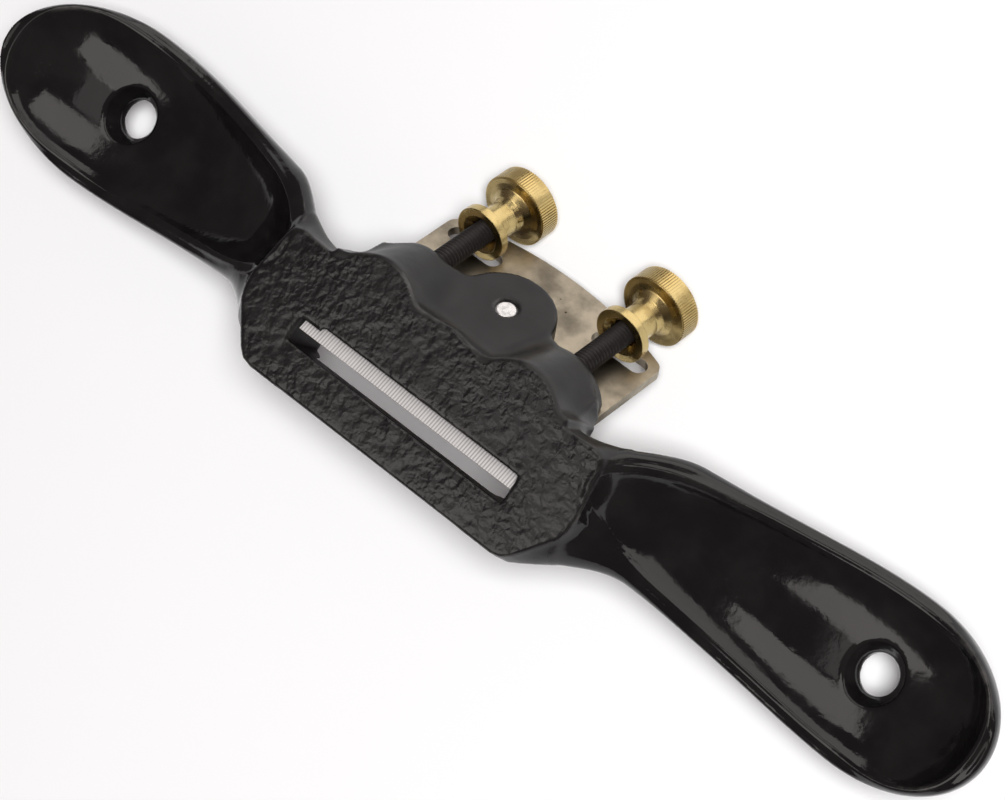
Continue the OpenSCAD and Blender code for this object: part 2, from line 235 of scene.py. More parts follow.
class NodeTree:
    """Short calls that the shader and geometry trees share."""

    def put(self, socket, value):
        """Links the input or sets it: a number as it is, a colour with its alpha."""
        if isinstance(value, bpy.types.NodeSocket):
            self.links.new(value, socket)
        elif value is not None:
            number = isinstance(value, (int, float))
            socket.default_value = value if number else (*value, 1)

    def node(self, kind, **inputs):
        """A node, with values or links for its inputs by name, spaces as underscores."""
        node = self.nodes.new(kind)
        for name, value in inputs.items():
            self.put(node.inputs[name.replace("_", " ")], value)
        return node

    def math(self, operation, a, b=0.0, c=None):
        node = self.nodes.new("ShaderNodeMath")
        node.operation = operation
        for socket, value in zip(node.inputs, (a, b, c)):
            self.put(socket, value)
        return node.outputs[0]


class Shader(NodeTree):
    """A material's node tree, with short calls for the nodes that the finishes share."""

    def __init__(self, name, base, metallic, roughness):
        self.material = bpy.data.materials.new(name)
        self.material.use_nodes = True
        self.nodes = self.material.node_tree.nodes
        self.links = self.material.node_tree.links
        self.surface = self.nodes["Principled BSDF"]
        self.set("Base Color", base)
        self.set("Metallic", metallic)
        self.set("Roughness", roughness)
        self.place = self.nodes.new("ShaderNodeTexCoord").outputs["Object"]
        self.height = None

    def noise(self, scale, detail=3.0, rough=0.55, distortion=0.0, place=None):
        node = self.node("ShaderNodeTexNoise", Vector=place or self.place, Scale=scale,
                         Detail=detail, Roughness=rough, Distortion=distortion)
        return node.outputs["Fac"]

    def specks(self, scale, radius):
        """1 in small round spots, 0 elsewhere."""
        node = self.node("ShaderNodeTexVoronoi", Vector=self.place, Scale=scale)
        return self.ramp(node.outputs["Distance"], radius * 0.6, radius, 1, 0)

    def stretch(self, x, y, z):
        """Object coordinates scaled, for brushed and ground marks."""
        node = self.node("ShaderNodeMapping", Vector=self.place)
        node.inputs["Scale"].default_value = (x, y, z)
        return node.outputs[0]

    def attribute(self, name):
        node = self.nodes.new("ShaderNodeAttribute")
        node.attribute_name = name
        return node.outputs["Fac"]

    def along_x(self):
        """How far along X a point lies, in metres."""
        return self.node("ShaderNodeSeparateXYZ", Vector=self.place).outputs[0]

    def ramp(self, value, low, high, at_low=0.0, at_high=1.0):
        """Smooth step of a value from at_low, at low, to at_high, at high."""
        node = self.nodes.new("ShaderNodeMapRange")
        node.interpolation_type = "SMOOTHSTEP"
        for slot, number in zip((1, 2, 3, 4), (low, high, at_low, at_high)):
            node.inputs[slot].default_value = number
        self.links.new(value, node.inputs[0])
        return node.outputs[0]

    def blend(self, share, a, b):
        """Colour a where share is 0, b where it is 1."""
        node = self.nodes.new("ShaderNodeMix")
        node.data_type = "RGBA"
        self.links.new(share, node.inputs[0])
        for slot, value in ((6, a), (7, b)):
            self.put(node.inputs[slot], value)
        return node.outputs[2]

    def bump(self, height, millimetres, strength):
        """Adds a bump of that height on top of the ones before it."""
        node = self.node("ShaderNodeBump", Strength=strength, Distance=millimetres * MM,
                         Height=height, Normal=self.height)
        self.height = node.outputs[0]
        self.links.new(self.height, self.surface.inputs["Normal"])

    def set(self, name, value):
        self.put(self.surface.inputs[name], value)


def shade(tone, share):
    """The tone made darker or paler."""
    return tuple(min(1, c * share) for c in tone)


def enamel_material(settings):
    """Black enamel: lumpy on the sole, satin on the tongue and ears, glossy in the thumb rests."""
    s = Shader("black_enamel", settings.enamel, 0.0, 0.3)
    sole = s.attribute("sole")
    gloss = s.attribute("gloss")
    fine = s.noise(2600, 2.0)
    lumps = s.noise(720, 1.5, 0.5, 0.3)
    s.bump(s.noise(240, 2.0), 0.12, 0.6)
    s.bump(s.noise(620, 2.0), 0.035, 0.7)
    lip = s.attribute("lip")
    bead = s.math("SUBTRACT", s.ramp(lip, -0.2, 0.4), s.ramp(lip, 0.9, 1.9, 0, 1.5))
    s.bump(s.math("ADD", bead, s.ramp(lip, 2.1, 2.8, 0, 0.5)), 0.12, 0.8)
    patchy = s.math("MULTIPLY", sole, s.ramp(s.noise(70, 2.0), 0.35, 0.6, 0.45, 1.0))
    s.bump(s.math("MULTIPLY", lumps, s.math("ADD", patchy, 0.04)), 0.27, 0.7)
    s.bump(fine, 0.012, 0.5)
    brown = shade(settings.enamel, 1.9)
    tone = s.blend(s.ramp(s.noise(90, 4.0), 0.35, 0.7), settings.enamel, brown)
    wear = s.math("MULTIPLY", s.attribute("worn"), s.ramp(s.noise(160, 3.0), 0.42, 0.62))
    s.set("Base Color", s.blend(s.math("MULTIPLY", wear, 0.5), tone, WORN_TONE))
    satin = s.ramp(s.noise(130, 3.0), 0.3, 0.7, 0.36, 0.44)
    glossy = s.ramp(s.noise(180, 3.0), 0.3, 0.7, 0.07, 0.14)
    share = s.math("MAXIMUM", s.math("MULTIPLY", sole, 0.6), gloss)
    polish = s.math("MULTIPLY", share, s.math("SUBTRACT", satin, glossy))
    s.set("Roughness", s.math("SUBTRACT", satin, polish))
    s.set("Specular IOR Level", SPECULAR)
    return s.material


def cap_material(settings):
    """The casting's enamel on the lever cap, in a paler mauve-grey that is painted shade: it stands
    in for the shadowed floor seen through the mouth in front of the blade.
    """
    s = Shader("cap_enamel", settings.cap_enamel, 0.0, 0.32)
    dark = shade(settings.cap_enamel, 0.7)
    s.set("Base Color", s.blend(s.ramp(s.noise(110, 4.0), 0.35, 0.7), settings.cap_enamel, dark))
    s.set("Roughness", s.ramp(s.noise(150, 3.0), 0.3, 0.7, 0.26, 0.4))
    s.bump(s.noise(260, 2.0), 0.1, 0.5)
    s.bump(s.noise(900, 2.0), 0.02, 0.6)
    s.set("Specular IOR Level", SPECULAR)
    return s.material


def blade_materials(settings):
    """Aged steel with rust specks, and the bright ground bevel."""
    s = Shader("aged_blade_steel", settings.steel, 1.0, 0.42)
    stains = s.ramp(s.noise(120, 5.0, 0.6), 0.35, 0.72)
    tone = s.blend(stains, shade(settings.steel, 1.22), shade(settings.steel, 0.62))
    rust = s.math("MULTIPLY", s.specks(330, 0.10), s.ramp(s.noise(60, 2.0), 0.5, 0.62))
    s.set("Base Color", s.blend(rust, tone, RUST_TONE))
    grind = s.noise(1, 3.0, place=s.stretch(300, 4200, 4200))
    s.set("Roughness", s.math("MULTIPLY_ADD", stains, 0.16, 0.34))
    s.bump(grind, 0.006, 0.6)
    s.bump(s.noise(900, 3.0), 0.006, 0.5)
    g = Shader("ground_bevel_steel", settings.bevel, 0.2, 0.55)
    stripes = g.noise(1, 1.0, place=g.stretch(1500, 40, 40))
    grooves = g.math("PINGPONG", g.math("MULTIPLY", g.along_x(), 1540.0), 0.5)
    lines = g.ramp(grooves, 0.10, 0.32)
    mark = g.math("MULTIPLY", g.math("SUBTRACT", 1.0, lines), g.ramp(stripes, 0.15, 0.45))
    g.set("Base Color", g.blend(mark, settings.bevel, shade(settings.bevel, 0.55)))
    g.bump(g.math("SUBTRACT", 1.0, mark), 0.02, 0.5)
    return s.material, g.material


def brass_material(settings):
    """Turned brass: rings from the lathe and a few darker stains."""
    s = Shader("turned_brass", settings.brass, 1.0, 0.26)
    along = s.attribute("along")
    radius = s.attribute("radius")
    feed = 0.32
    phase = s.math("MULTIPLY", s.math("ADD", along, radius), 2 * math.pi / feed)
    tool_marks = s.math("SINE", phase)
    wander = s.noise(1, 2.0, place=s.stretch(500, 500, 500))
    rings = s.math("MULTIPLY", tool_marks, s.ramp(wander, 0.3, 0.7))
    stains = s.ramp(s.noise(210, 4.0, 0.6), 0.42, 0.75)
    dark = tuple(c * k for c, k in zip(settings.brass, (0.62, 0.55, 0.42)))
    s.set("Base Color", s.blend(s.math("MULTIPLY", stains, 0.6), settings.brass, dark))
    s.set("Roughness", s.math("MULTIPLY_ADD", stains, 0.16, 0.22))
    s.bump(rings, 0.010, 0.7)
    s.bump(s.noise(1600, 2.0), 0.004, 0.5)
    return s.material


def black_steel_material(settings):
    s = Shader("blackened_steel", settings.black_steel, 0.4, 0.42)
    crests = s.ramp(s.nodes.new("ShaderNodeNewGeometry").outputs["Pointiness"], 0.52, 0.62)
    rubbed = s.math("MULTIPLY", crests, s.ramp(s.noise(700, 3.0), 0.4, 0.7))
    s.set("Base Color",
          s.blend(s.math("MULTIPLY", rubbed, 0.35), settings.black_steel, RUBBED_TONE))
    s.set("Roughness", s.ramp(s.noise(500, 3.0), 0.3, 0.7, 0.34, 0.52))
    s.bump(s.noise(2400, 2.0), 0.008, 0.5)
    return s.material


def bright_steel_material(settings):
    s = Shader("bright_steel", settings.bright_steel, 0.75, 0.34)
    dull = s.ramp(s.noise(900, 4.0, 0.65), 0.45, 0.75)
    grey = shade(settings.bright_steel, 0.6)
    s.set("Base Color", s.blend(s.math("MULTIPLY", dull, 0.6), settings.bright_steel, grey))
    s.set("Roughness", s.math("MULTIPLY_ADD", dull, 0.2, 0.26))
    s.bump(s.noise(1500, 3.0), 0.03, 0.5)
    return s.material


def floor_material(settings):
    s = Shader("pale_floor", settings.floor, 0.0, 0.85)
    s.set("Base Color", s.blend(s.noise(9, 3.0), settings.floor, shade(settings.floor, 0.985)))
    s.bump(s.noise(700, 3.0), 0.02, 0.2)
    return s.material


# ---- The casting's shape ----

def smooth(t):
    t = np.clip(t, 0, 1)
    return t * t * (3 - 2 * t)


def round_end(t):
    return np.sqrt(np.clip(1 - t * t, 0, None))


def soft_union(a, b, radius):
    """Union of two distance fields with a fillet."""
    h = np.clip(radius - np.abs(a - b), 0, None) / radius
    return np.minimum(a, b) - h * h * radius / 4


def soft_cut(a, b, radius):
    """Intersection of two distance fields with a rounded edge."""
    return -soft_union(-a, -b, radius)


def outline_distance(points, x, y):
    """Distance from each (x, y) to a closed outline, negative inside it."""
    shape = x.shape
    p = np.stack([x.ravel(), y.ravel()], 1)
    nearest = np.full(len(p), 1e9)
    inside = np.zeros(len(p), bool)
    for a, b in zip(points, np.roll(points, -1, axis=0)):
        edge = b - a
        t = np.clip(((p - a) @ edge) / max(edge @ edge, 1e-12), 0, 1)
        nearest = np.minimum(nearest, np.linalg.norm(p - a - t[:, None] * edge, axis=1))
        crosses = (a[1] > p[:, 1]) != (b[1] > p[:, 1])
        if a[1] != b[1]:
            inside ^= crosses & (p[:, 0] < a[0] + (p[:, 1] - a[1]) * edge[0] / edge[1])
    return np.where(inside, -nearest, nearest).reshape(shape)


def lattice_noise(shape, cell, rng):
    """Smooth noise from -1 to 1, with lumps about `cell` samples wide."""
    coarse = rng.uniform(-1, 1, [int(n / cell) + 4 for n in shape])
    grids = []
    for n in shape:
        u = np.arange(n) / cell
        grids.append((u.astype(int), smooth(u - u.astype(int))))
    (i, fi), (j, fj) = grids
    fi, fj = fi[:, None], fj[None, :]
    row = lambda di: coarse[np.ix_(i + di, j)] * (1 - fj) + coarse[np.ix_(i + di, j + 1)] * fj
    return row(0) * (1 - fi) + row(1) * fi


class CastingShape:
    """The casting as one distance field, in sole-frame millimetres, negative inside."""

    def __init__(self, c):
        self.c = c
        self.sole_x = c.sole_length / 2
        self.heel_y = TOE_Y + c.sole_depth
        self.neck_x = self.sole_x + 8.5
        self.wide_x = TIP_X - 26
        self.dish_x0 = self.sole_x - 1
        self.dish_x1 = TIP_X - 3.5
        self.handle_y = 8.6
        self.cheek_x = BLADE_HALF + 0.4
        self.lip_y = (-4.6, 1.4)
        self.ear_x, self.ear_radius = 18, 8.5
        self.hole_x, self.hole_radius = TIP_X - 28.6, 4.0
        self.screw_s, self.screw_radius = 27, 2.2
        self.rim_side = 3.0

    def rim_z(self, x):
        t = (np.maximum(x, self.dish_x0) - self.dish_x0) / (self.dish_x1 - self.dish_x0)
        return -2.2 - 10.8 * t - 4 * self.c.handle_sag * t * (1 - t)

    def neck_share(self, x):
        return 1 - smooth((x - self.sole_x + 11.5) / 22)

    def mid(self, x):
        return self.handle_y + (0.4 - self.handle_y) * self.neck_share(x)

    def full_half(self, x):
        c = self.c
        grown = smooth((x - self.neck_x) / (self.wide_x - self.neck_x))
        return c.neck_width / 2 + (c.handle_width - c.neck_width) / 2 * grown

    def half(self, x):
        end = np.clip((x - self.wide_x) / (TIP_X - self.wide_x), 0, 1)
        return self.full_half(x) * round_end(end)

    def dish_half(self, x):
        start = np.clip((self.neck_x + 8 - x) / (self.neck_x + 8 - self.dish_x0), 0, 1)
        end = np.clip((x - self.wide_x) / (self.dish_x1 - self.wide_x), 0, 1)
        side = self.full_half(x) - 3.0 - 1.4 * smooth((self.sole_x + 28.5 - x) / 30)
        return side * round_end(start) * round_end(end ** 1.7)

    def strip(self, x0, x1, half, centre):
        """Closed outline of a strip along X from its half width and centre line."""
        t = (1 - np.cos(np.linspace(0, math.pi, 90))) / 2
        x = x0 + (x1 - x0) * t
        w, y = half(x), centre(x)
        return np.concatenate([np.stack([x, y + w], 1), np.stack([x, y - w], 1)[::-1]])

    def sole_edge(self):
        """The sole's outline, toe to heel on the right and back on the left."""
        toe, heel, end = TOE_Y, self.heel_y, self.sole_x
        right = [(0, toe), (end - 10.5, toe), (end - 8.3, toe + 0.5), (end - 6.7, toe + 1.9),
                 (end - 1.2, toe + 9.4), (end - 0.2, toe + 11.8), (end + 0.1, toe + 15),
                 (end - 0.7, toe + 18.4), (end - 1.3, heel - 6.6), (end - 2.2, heel - 2.8),
                 (end - 4.4, heel - 2), (end - 13, heel - 2.4)]
        ear = [(self.ear_x + 9 * math.cos(a), heel - 3.4 + 6.1 * math.sin(a))
               for a in np.linspace(0.25, math.pi - 0.25, 9)]
        right += ear + [(0, heel)]
        return np.array(right + [(-x, y) for x, y in right[-2:0:-1]])

    def handle(self, x, y, z):
        """A spoon: flat-rimmed dish above, half an ellipse below."""
        flat_x, flat_y = x[:, :, 0], y[:, :, 0]
        outer = self.strip(self.cheek_x - 3, TIP_X, self.half, self.mid)
        inner = self.strip(self.dish_x0, self.dish_x1, self.dish_half,
                           lambda v: v * 0 + self.handle_y + 0.2)
        wall = outline_distance(outer, flat_x, flat_y)
        dish = outline_distance(inner, flat_x, flat_y)
        rim = self.rim_z(flat_x)
        low = rim - self.rim_side
        widest = self.full_half(flat_x)
        across = np.clip(1 + wall / widest, 0, None)[:, :, None]
        deep = self.c.handle_thickness - self.rim_side + 3.4 * self.neck_share(flat_x)
        deep = deep[:, :, None]
        under = np.clip(low[:, :, None] - z, 0, None) / deep
        value = across ** 2 + under ** 2 - 1
        slope = 2 * np.sqrt((across / widest[:, :, None]) ** 2 + (under / deep) ** 2)
        shell = value / np.maximum(slope, 0.04)
        wide = np.maximum(self.dish_half(np.clip(flat_x, self.dish_x0 + 0.5, self.dish_x1 - 1)), 3)
        u = np.clip(1 - np.clip(-dish, 0, None) / wide, 0, 1)
        depth = self.c.dish_depth * np.minimum(1, wide / 9) ** 1.3 * (1 - u ** 2.4)
        fade = 0.3 + 0.7 * smooth((flat_x - self.dish_x0 - 4) / 16)
        bead = np.exp(-((dish - 0.7) / 0.75) ** 2) - 0.7 * np.exp(-((dish - 2.1) / 0.5) ** 2)
        top = rim + self.c.bead * fade * bead - depth
        roll = (1.7 + 4.2 * (1 - smooth((flat_x - self.sole_x - 3) / 24)))[:, :, None]
        tilt = np.sqrt(1 + np.gradient(top, self.c.grid, axis=0) ** 2
                       + np.gradient(top, self.c.grid, axis=1) ** 2)[:, :, None]
        return soft_cut(shell, (z - top[:, :, None]) / tilt, roll), dish

    def ear(self, x, s, o, y, z):
        """A leaning, tapering half barrel, cut square to the stud."""
        start, end = np.array((9.7, 0.0)), np.array((18.38, -18.38))
        reach = np.linalg.norm(end - start)
        along = (end - start) / reach
        t = ((y - start[0]) * along[0] + (z - start[1]) * along[1]) / reach
        across = (y - start[0]) * along[1] - (z - start[1]) * along[0]
        radius = self.ear_radius - 0.6 * np.clip(t, -0.2, 1.2)
        barrel = np.sqrt((0.95 * (x - self.ear_x)) ** 2 + across ** 2) - radius
        return soft_cut(soft_cut(barrel, s - 26, 1.0), -o - 3, 1.0)

    def tongue(self, x, s, o):
        """The round-ended plate round the cap screw, and the bed that it grows from."""
        arch = np.hypot(x, s - 25.9) - 10.5
        root = np.maximum(np.abs(x) - 11.5, s - 25.5)
        bed = np.maximum(np.abs(x) - self.cheek_x, s - 22)
        outline = np.minimum(soft_union(arch, root, 4.5), bed)
        return soft_cut(soft_cut(outline, o - 6, 0.7), -o, 0.3)

    def block(self, x, y, z):
        """The solid behind the mouth, with the sole's thickness at the heel wall."""
        width = np.abs(x) - self.cheek_x - 2
        depth = np.maximum(y - self.heel_y + 0.8, self.lip_y[0] - y)
        return soft_cut(soft_cut(width, depth, 0.6), -z - 13.5, 1.0)

    def field(self, x, y, z):
        """The casting's distance, with the plan distances to the thumb rests and the sole."""
        c = self.c
        ax = np.abs(x)
        s = (y - z) * HALF_ROOT
        o = (y + z) * HALF_ROOT
        edge = outline_distance(self.sole_edge(), x[:, :, 0], y[:, :, 0])[:, :, None]
        plate = soft_cut(edge, -z - c.sole_thickness, 0.8)
        handle, dish = self.handle(ax, y, z)
        ears = self.ear(ax, s, o, y, z)
        rear = soft_union(self.block(x, y, z), self.tongue(x, s, o), 2.4)
        rear = soft_union(rear, ears, 3.4)
        solid = soft_union(soft_union(plate, rear, 1.2), handle, 3.2)
        rng = np.random.RandomState(c.seed)
        shape = x[:, :, 0].shape
        lump = lattice_noise(shape, 1.5 / c.grid, rng)
        lump = lump + 0.55 * lattice_noise(shape, 0.9 / c.grid, rng)
        lump = (lump / 1.55 - 1) * c.lump / 2
        skin = z - (lump * smooth(-edge[:, :, 0] / 0.8 + 0.35))[:, :, None]
        solid = soft_cut(solid, skin, 0.55)
        bed_space = np.maximum(np.maximum(o - 0.06, ax - self.cheek_x), self.lip_y[0] - y)
        left_end = -x - self.cheek_x + 3.4 + 0.3 * (y - self.lip_y[0])
        ends = np.maximum(x - self.cheek_x + 0.15, left_end)
        mouth = np.maximum(np.maximum(self.lip_y[0] - y, y - self.lip_y[1]), ends)
        opening = np.minimum(bed_space, np.maximum(mouth, -z - 9))
        solid = soft_cut(solid, -opening, 0.35)
        screw = np.maximum(np.hypot(x, s - self.screw_s) - self.screw_radius, -o - 1)
        solid = soft_cut(solid, -screw, 0.3)
        floor = self.rim_z(self.hole_x) - c.dish_depth
        off = np.hypot(ax - self.hole_x, y - self.handle_y)
        flare = np.maximum(0, z - (floor - 2.6)) * 0.7
        hole = self.hole_radius + np.minimum(flare, 2.1) - off
        return soft_cut(solid, hole, 0.5), dish, edge


def surface_mesh(field, low, step):
    """Vertices and quads of a field's zero surface, one vertex in each cell that it crosses."""
    n = np.array(field.shape) - 1
    offsets = [(i, j, k) for i in (0, 1) for j in (0, 1) for k in (0, 1)]
    view = lambda f, q: f[q[0]:q[0] + n[0], q[1]:q[1] + n[1], q[2]:q[2] + n[2]]
    inside = field < 0
    count = sum(view(inside, q).astype(np.int8) for q in offsets)
    active = (count > 0) & (count < 8)
    cells = np.argwhere(active)
    index = np.full(active.shape, -1, np.int64)
    index[active] = np.arange(len(cells))
    total = np.zeros((len(cells), 3))
    hits = np.zeros(len(cells))
    corner = {q: field[tuple((cells + q).T)] for q in offsets}
    for a in offsets:
        for axis in range(3):
            if a[axis]:
                continue
            b = tuple(v + (d == axis) for d, v in enumerate(a))
            fa, fb = corner[a], corner[b]
            hit = (fa < 0) != (fb < 0)
            t = np.where(hit, fa / np.where(hit, fa - fb, 1), 0)
            at = np.array(a, float) + t[:, None] * (np.arange(3) == axis)
            total[hit] += at[hit]
            hits[hit] += 1
    verts = low + (cells + total / hits[:, None]) * step
    quads = []
    for axis in range(3):
        u, v = (axis + 1) % 3, (axis + 2) % 3
        first = np.take(inside, range(n[axis]), axis)
        second = np.take(inside, range(1, n[axis] + 1), axis)
        edges = np.argwhere(first != second)
        at_u, at_v = edges[:, u], edges[:, v]
        edges = edges[(at_u > 0) & (at_v > 0) & (at_u < n[u]) & (at_v < n[v])]
        du, dv = (np.arange(3) == u).astype(int), (np.arange(3) == v).astype(int)
        ring = [index[tuple((edges - p).T)] for p in (0 * du, du, du + dv, dv)]
        quad = np.stack(ring, 1)
        out = first[tuple(edges.T)]
        quad[~out] = quad[~out][:, ::-1]
        quads.append(quad)
    return verts, np.concatenate(quads)


def sample(grid, at):
    """Linear interpolation of a grid at fractional cells, as rows."""
    base = np.clip(at.astype(int), 0, np.array(grid.shape) - 2)
    part = at - base
    total = np.zeros(len(at))
    for corner in np.ndindex(*(2,) * grid.ndim):
        share = np.prod(np.where(corner, part, 1 - part), axis=1)
        total += share * grid[tuple((base + corner).T)]
    return total


def settle(field, verts, low, step):
    """Moves the vertices onto the surface, and gives its own normals and bend there."""
    slopes = np.gradient(field, step)
    for _ in range(3):
        at = (verts - low) / step
        slope = np.stack([sample(g, at) for g in slopes], 1)
        move = sample(field, at)[:, None] * slope / np.maximum((slope ** 2).sum(1), 0.2)[:, None]
        verts = verts - np.clip(move, -0.3 * step, 0.3 * step)
    at = (verts - low) / step
    slope = np.stack([sample(g, at) for g in slopes], 1)
    bend = sum(sample(np.gradient(g, step, axis=d), at) for d, g in enumerate(slopes))
    return verts, slope / np.maximum(np.linalg.norm(slope, axis=1), 1e-6)[:, None], bend


def build_casting(settings):
    """The casting's mesh, with the attributes that its enamel reads."""
    step = settings.grid
    shape = CastingShape(settings)
    low = np.array((-TIP_X - 1, TOE_Y - 1, (BODY_LOW.z - DATUM.z) / MM - 1.5))
    high = np.array((TIP_X + 1, (BODY_HIGH.y - DATUM.y) / MM + 1, 1.0))
    counts = np.ceil((high - low) / step).astype(int) + 1
    axes = [low[d] + step * np.arange(counts[d]) for d in range(3)]
    x, y, z = np.meshgrid(*axes, indexing="ij")
    field, dish, edge = shape.field(x, y, z)
    verts, quads = surface_mesh(field, low, step)
    verts, normals, bend = settle(field, verts, low, step)
    mesh = bpy.data.meshes.new("casting")
    mesh.from_pydata(sole_to_part(verts).tolist(), [], quads.tolist())
    mesh.shade_smooth()
    plain = np.empty(len(verts) * 3)
    mesh.vertices.foreach_get("normal", plain)
    plain = plain.reshape(-1, 3)
    strays = (plain * normals).sum(1) < 0.9
    normals[strays] = plain[strays]
    mesh.normals_split_custom_set_from_vertices(normals.tolist())
    plan = ((verts - low) / step)[:, :2]
    inside = -sample(edge[:, :, 0], plan)
    sole = smooth((verts[:, 2] + 0.9) / 0.5) * smooth(inside / 0.6 + 0.3)
    lip = np.where(normals[:, 2] < -0.1, 9, np.clip(sample(dish, plan), -4, 9))
    handle = smooth((np.abs(verts[:, 0]) - shape.sole_x + 4) / 5)
    worn = smooth((bend - 0.7) / 0.9) * (1 - 0.8 * sole)
    values_of = {"sole": sole, "gloss": handle * (1 - sole), "lip": lip, "worn": worn}
    for name, values in values_of.items():
        mesh.attributes.new(name, "FLOAT", "POINT").data.foreach_set("value", values)
    return mesh


# ---- Lathed and threaded pieces ----

def lathe(name, profile, matrix, segments=128):
    """Turns a closed (radius, height) outline, in mm, about local z. It keeps where each
    point was on the lathe, for the tool marks."""
    points = np.array(profile, float)
    angles = np.linspace(0, 2 * math.pi, segments, endpoint=False)
    ring = np.stack([np.cos(angles), np.sin(angles)], 1)
    verts = [(r * cx, r * cy, h) for r, h in points for cx, cy in ring]
    rows = len(points)
    quads = [(j * segments + i, j * segments + (i + 1) % segments,
              (j + 1) % rows * segments + (i + 1) % segments, (j + 1) % rows * segments + i)
             for j in range(rows) for i in range(segments)]
    mesh = bpy.data.meshes.new(name)
    mesh.from_pydata(verts, [], quads)
    for label, column in (("radius", 0), ("along", 1)):
        values = np.repeat(points[:, column], segments)
        mesh.attributes.new(label, "FLOAT", "POINT").data.foreach_set("value", values)
    mesh.transform(matrix)
    tidy_normals(mesh)
    return mesh


def tidy_normals(mesh):
    """Joins coincident points and turns every normal outwards."""
    work = bmesh.new()
    work.from_mesh(mesh)
    bmesh.ops.remove_doubles(work, verts=work.verts, dist=1e-7)
    bmesh.ops.recalc_face_normals(work, faces=work.faces)
    work.to_mesh(mesh)
    work.free()


def rounded(profile, radius, steps=4):
    """The closed outline with every corner rounded by up to radius."""
    p = np.array(profile, float)
    result = []
    for a, b, c in zip(np.roll(p, 1, 0), p, np.roll(p, -1, 0)):
        before, after = np.linalg.norm(a - b), np.linalg.norm(c - b)
        r = min(radius, 0.45 * before, 0.45 * after)
        start, end = b + (a - b) / before * r, b + (c - b) / after * r
        for t in np.linspace(0, 1, steps):
            result.append((1 - t) ** 2 * start + 2 * t * (1 - t) * b + t * t * end)
    return [tuple(v) for v in result]


class GeometryTree(NodeTree):
    """A geometry node group under construction."""

    def __init__(self, name, inputs):
        self.group = bpy.data.node_groups.new(name, "GeometryNodeTree")
        self.nodes, self.links = self.group.nodes, self.group.links
        face = self.group.interface
        face.new_socket("Geometry", in_out="INPUT", socket_type="NodeSocketGeometry")
        for label, value in inputs.items():
            kind = "NodeSocketInt" if isinstance(value, int) else "NodeSocketFloat"
            face.new_socket(label, in_out="INPUT", socket_type=kind).default_value = value
        face.new_socket("Geometry", in_out="OUTPUT", socket_type="NodeSocketGeometry")
        self.source = self.nodes.new("NodeGroupInput").outputs
        self.result = self.nodes.new("NodeGroupOutput").inputs[0]

    def coordinates(self):
        """A node whose outputs are a point's x, y and z."""
        position = self.node("GeometryNodeInputPosition").outputs[0]
        return self.node("ShaderNodeSeparateXYZ", Vector=position)

    def raised(self, geometry, height):
        up = self.node("ShaderNodeCombineXYZ", Z=height).outputs[0]
        return self.node("GeometryNodeTransform", Geometry=geometry, Translation=up).outputs[0]

    def end(self, geometry, material):
        """Makes instances real, sets the material, and gives the result."""
        real = self.node("GeometryNodeRealizeInstances", Geometry=geometry)
        paint = self.node("GeometryNodeSetMaterial", Geometry=real.outputs[0])
        paint.inputs["Material"].default_value = material
        self.links.new(paint.outputs[0], self.result)

    def on(self, obj, **values):
        """Puts the tree on an object, its inputs set by their sockets' identifiers."""
        modifier = obj.modifiers.new(self.group.name, "NODES")
        modifier.node_group = self.group
        for item in self.group.interface.items_tree:
            key = item.name.replace(" ", "_")
            if item.in_out == "INPUT" and key in values:
                modifier[item.identifier] = values[key]
        return apply_modifiers(obj)


def thread_tree(material):
    """A threaded rod along local z: a grid rolled up, its radius following the helix."""
    tree = GeometryTree("Threaded rod", {
        "Radius": 2.4, "Depth": 0.35, "Pitch": 0.8, "Length": 40.0, "Chamfer": THREAD_CHAMFER,
        "Sides": THREAD_SIDES, "Rows": 361})
    source = tree.source
    grid = tree.node("GeometryNodeMeshGrid", Size_X=1.0, Size_Y=1.0,
                     Vertices_X=tree.math("ADD", source["Sides"], 1.0),
                     Vertices_Y=source["Rows"])
    place = tree.coordinates()
    turn = tree.math("MULTIPLY", tree.math("ADD", place.outputs[0], 0.5), 2 * math.pi)
    along = tree.math("MULTIPLY", tree.math("ADD", place.outputs[1], 0.5), source["Length"])
    phase = tree.math("SUBTRACT", tree.math("DIVIDE", along, source["Pitch"]), place.outputs[0])
    crest = tree.math("MULTIPLY", tree.math("PINGPONG", tree.math("FRACT", phase), 0.5), 2.0)
    groove = tree.math("MULTIPLY", tree.math("POWER", crest, 1.3), source["Depth"])
    to_end = tree.math("MINIMUM", along, tree.math("SUBTRACT", source["Length"], along))
    cut = tree.math("MAXIMUM", tree.math("SUBTRACT", source["Chamfer"], to_end), 0.0)
    radius = tree.math("SUBTRACT", source["Radius"], tree.math("MAXIMUM", groove, cut))
    rolled = tree.node("ShaderNodeCombineXYZ", Z=along,
                       X=tree.math("MULTIPLY", radius, tree.math("COSINE", turn)),
                       Y=tree.math("MULTIPLY", radius, tree.math("SINE", turn)))
    rod = tree.node("GeometryNodeSetPosition", Geometry=grid.outputs[0], Position=rolled.outputs[0])
    join = tree.node("GeometryNodeJoinGeometry")
    tree.links.new(rod.outputs[0], join.inputs[0])
    for height in (0.0, source["Length"]):
        disc = tree.node("GeometryNodeMeshCircle", Vertices=source["Sides"],
                         Radius=tree.math("SUBTRACT", source["Radius"], source["Chamfer"]))
        disc.fill_type = "NGON"
        tree.links.new(tree.raised(disc.outputs[0], height), join.inputs[0])
    closed = tree.node("GeometryNodeMergeByDistance", Geometry=join.outputs[0], Distance=0.01)
    tree.end(closed.outputs[0], material)
    return tree


